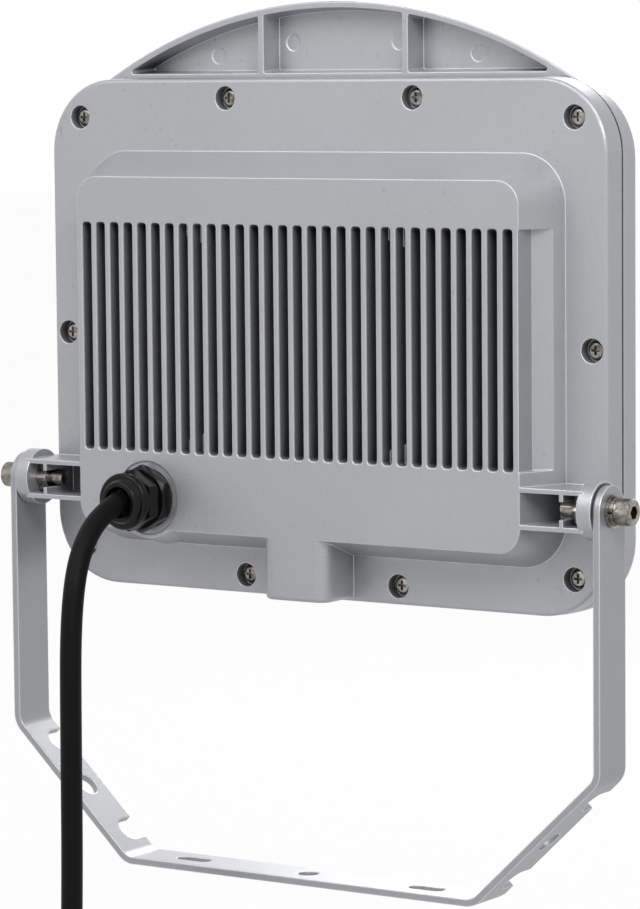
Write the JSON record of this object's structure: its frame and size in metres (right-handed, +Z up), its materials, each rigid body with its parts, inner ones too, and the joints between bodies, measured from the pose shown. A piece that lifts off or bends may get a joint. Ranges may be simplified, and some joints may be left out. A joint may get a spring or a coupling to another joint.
{
  "type": "led floodlight",
  "caption": "Die-cast LED floodlight with a finned back and an arched brow, tilting between the arms of a folded stirrup bracket, with a gland and a hanging supply cable.",
  "frame": {"origin": "centre of the stirrup foot's underside, midway between its two fixing slots", "axes": "+Z up from the foot to the head, -Y towards the lit side, +X along the tilt axis"},
  "size_m": [0.3732, 0.1362, 0.5713],
  "materials": {
    "silver_casting": "silver-grey powder coat on a casting",
    "silver_strip": "silver-grey powder coat on folded steel",
    "zinc_steel": "nickel-plated",
    "stainless_screw": "stainless, turned",
    "black_nylon": "satin moulded nylon",
    "black_rubber": "matt seal rubber",
    "cable_sheath": "satin cable sheath",
    "black_fibre": "fibre washer",
    "core_insulation": "brown, blue and green-yellow insulation",
    "hook_up_wire": "red and black insulation",
    "clear_glass": "tempered, polished",
    "bright_reflector": "bright pressed sheet",
    "white_board": "white solder mask on aluminium",
    "phosphor": "yellow phosphor",
    "driver_metal": "plain sheet",
    "green_board": "green solder mask",
    "ferrite": "dark ferrite with yellow tape",
    "capacitor_sleeve": "shrink sleeve",
    "terminal_plastic": "ivory moulded",
    "tinned_copper": "tinned"
  },
  "bodies": {
    "stirrup": {"bracket": "silver_strip", "supply_cable": "cable_sheath", "cable_cores": "core_insulation", "core_ferrules": "tinned_copper"},
    "head": {"rear_housing": "silver_casting", "front_frame": "silver_casting", "housing_seal": "black_rubber", "frame_screws": "stainless_screw", "front_glass": "clear_glass", "glass_seal": "black_rubber", "reflector": "bright_reflector", "led_board": "white_board", "leds": "phosphor", "board_screws": "stainless_screw", "driver_plate": "driver_metal", "driver_cover": "driver_metal", "driver_board": "green_board", "driver_transformer": "ferrite", "driver_capacitors": "capacitor_sleeve", "driver_screws": "stainless_screw", "terminal_block": "terminal_plastic", "supply_cores": "core_insulation", "driver_input_wires": "hook_up_wire", "led_wires": "hook_up_wire", "gland_ring": "black_rubber", "gland_body": "black_nylon", "gland_cap": "black_nylon", "gland_bush": "black_rubber", "gland_locknut": "black_nylon", "cable_inner": "cable_sheath", "friction_washers": "black_fibre", "pivot_washers": "zinc_steel", "spring_washers": "zinc_steel", "pivot_bolts": "zinc_steel", "captive_nuts": "zinc_steel"}
  },
  "joints": [
    {"name": "head_tilt", "type": "hinge", "parent": "stirrup", "child": "head", "pos_m": [0, 0, 0.196], "axis": [1, 0, 0], "range_deg": [-90, 90], "deforming": ["supply_cable"]}
  ]
}
